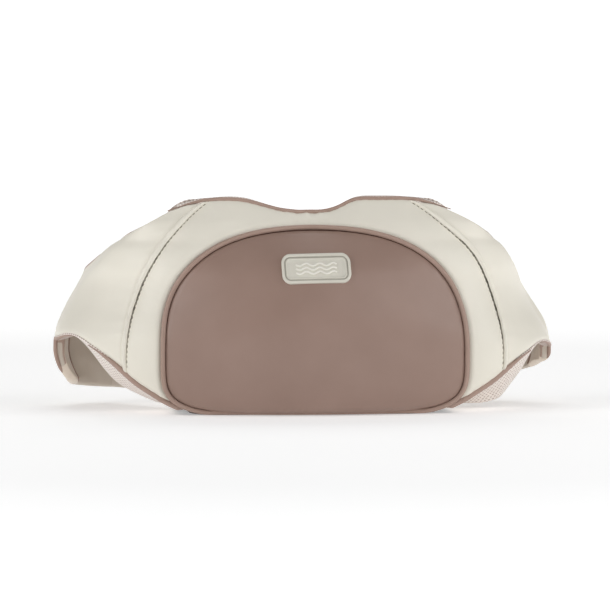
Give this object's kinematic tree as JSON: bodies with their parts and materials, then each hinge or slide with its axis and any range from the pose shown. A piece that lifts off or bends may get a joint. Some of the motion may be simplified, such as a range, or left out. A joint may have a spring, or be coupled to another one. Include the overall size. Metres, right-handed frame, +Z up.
{
  "type": "shiatsu neck massager",
  "caption": "Padded neck and shoulder massager with a domed front panel, flexible wings ending in arm loops, and two counter-rotating kneading heads behind a mesh back.",
  "frame": {"origin": "on the flat base, on the part's plane of symmetry, below the middle of the padded body", "axes": "+X runs along the width towards the loop with the control pod, +Y towards the mesh massaging side, +Z up"},
  "size_m": [0.4028, 0.1774, 0.1733],
  "materials": {
    "panel_leather": "satin",
    "piping": "satin",
    "cover_leather": "satin",
    "badge_rubber": "matt",
    "mesh_fabric": "matt",
    "base_fabric": "matt",
    "foam": "matt",
    "lining_fabric": "matt",
    "suede_band": "matt",
    "zip_tape": "matt",
    "zip_metal": "satin",
    "shell_abs": "matt",
    "gearbox_nylon": "matt",
    "steel": "satin",
    "motor_can": "satin",
    "bronze": "satin",
    "node_plastic": "satin",
    "cell_wrap": "gloss",
    "circuit_board": "gloss",
    "inlet_plastic": "matt",
    "wire_sheath": "satin",
    "button_plastic": "satin",
    "light_lens": "gloss"
  },
  "bodies": {
    "root": {"front_panel": "panel_leather", "front_panel_piping": "piping", "front_cover": "cover_leather", "badge": "badge_rubber", "top_piping": "piping", "mesh_cover": "mesh_fabric", "base_panel": "base_fabric", "left_side_foam": "foam", "right_side_foam": "foam", "left_wing_root": "cover_leather", "right_wing_root": "cover_leather", "left_hem_piping": "piping", "right_hem_piping": "piping", "left_strap_root": "cover_leather", "right_strap_root": "cover_leather", "zipper_tape": "zip_tape", "front_shell": "shell_abs", "rear_frame": "shell_abs", "gearbox_base": "gearbox_nylon", "gearbox_cover": "gearbox_nylon", "gearbox_screws": "steel", "frame_screws": "steel", "motor": "motor_can", "motor_bracket": "steel", "worm_bearing": "bronze", "head_bushes": "bronze", "battery_pack": "cell_wrap", "control_board": "circuit_board", "charge_inlet": "inlet_plastic", "wiring_loom": "wire_sheath"},
    "left_head": {"left_worm_wheel": "gearbox_nylon", "left_head_shaft": "steel", "left_head_plate": "shell_abs", "left_node_axles": "steel"},
    "right_head": {"right_worm_wheel": "gearbox_nylon", "right_head_shaft": "steel", "right_head_plate": "shell_abs", "right_node_axles": "steel"},
    "worm_drive": {"worm_shaft": "steel", "worm": "bronze"},
    "left_upper_node": {"left_upper_node": "node_plastic"},
    "left_lower_node": {"left_lower_node": "node_plastic"},
    "right_upper_node": {"right_upper_node": "node_plastic"},
    "right_lower_node": {"right_lower_node": "node_plastic"},
    "left_wing": {"left_wing_panel": "cover_leather", "left_wing_lining": "lining_fabric", "left_wing_piping": "piping", "left_loop_strap": "cover_leather", "left_loop_band": "suede_band"},
    "right_wing": {"right_wing_panel": "cover_leather", "right_wing_lining": "lining_fabric", "right_wing_piping": "piping", "right_loop_strap": "cover_leather", "right_loop_band": "suede_band", "control_pod": "shell_abs", "status_light": "light_lens"},
    "power_button": {"power_button": "button_plastic"},
    "direction_button": {"direction_button": "button_plastic"},
    "heat_button": {"heat_button": "button_plastic"},
    "zipper": {"zipper_slider": "zip_metal"}
  },
  "joints": [
    {"name": "left_head_turn", "type": "hinge", "parent": "root", "child": "left_head", "pos_m": [-0.045, -0.038, 0.08], "axis": [0, 1, 0], "continuous": true},
    {"name": "right_head_turn", "type": "hinge", "parent": "root", "child": "right_head", "pos_m": [0.045, -0.038, 0.08], "axis": [0, 1, 0], "continuous": true},
    {"name": "worm_turn", "type": "hinge", "parent": "root", "child": "worm_drive", "pos_m": [0, -0.038, 0.08], "axis": [0, 0, 1], "continuous": true},
    {"name": "left_upper_node_spin", "type": "hinge", "parent": "left_head", "child": "left_upper_node", "pos_m": [-0.05877, 0, 0.09966], "axis": [0, 1, 0], "continuous": true},
    {"name": "left_lower_node_spin", "type": "hinge", "parent": "left_head", "child": "left_lower_node", "pos_m": [-0.03123, 0, 0.06034], "axis": [0, 1, 0], "continuous": true},
    {"name": "right_upper_node_spin", "type": "hinge", "parent": "right_head", "child": "right_upper_node", "pos_m": [0.05877, 0, 0.09966], "axis": [0, 1, 0], "continuous": true},
    {"name": "right_lower_node_spin", "type": "hinge", "parent": "right_head", "child": "right_lower_node", "pos_m": [0.03123, 0, 0.06034], "axis": [0, 1, 0], "continuous": true},
    {"name": "left_wing_flex", "type": "hinge", "parent": "root", "child": "left_wing", "pos_m": [-0.152, 0.028, 0.07], "axis": [0, 0, 1], "range_deg": [-8, 8], "stiffness_Nm_per_rad": 1.5},
    {"name": "right_wing_flex", "type": "hinge", "parent": "root", "child": "right_wing", "pos_m": [0.152, 0.028, 0.07], "axis": [0, 0, 1], "range_deg": [-8, 8], "stiffness_Nm_per_rad": 1.5},
    {"name": "power_button_press", "type": "slide", "parent": "right_wing", "child": "power_button", "axis": [0, -1, 0], "range_m": [0, 0.0012], "stiffness_N_per_m": 900},
    {"name": "direction_button_press", "type": "slide", "parent": "right_wing", "child": "direction_button", "axis": [0, -1, 0], "range_m": [0, 0.0012], "stiffness_N_per_m": 900},
    {"name": "heat_button_press", "type": "slide", "parent": "right_wing", "child": "heat_button", "axis": [0, -1, 0], "range_m": [0, 0.0012], "stiffness_N_per_m": 900},
    {"name": "zipper_run", "type": "slide", "parent": "root", "child": "zipper", "axis": [1, 0, 0], "range_m": [0, 0.155]}
  ],
  "couplings": [
    {"joint": "right_head_turn", "follows": "left_head_turn", "ratio": -1},
    {"joint": "worm_turn", "follows": "left_head_turn", "ratio": 32}
  ]
}
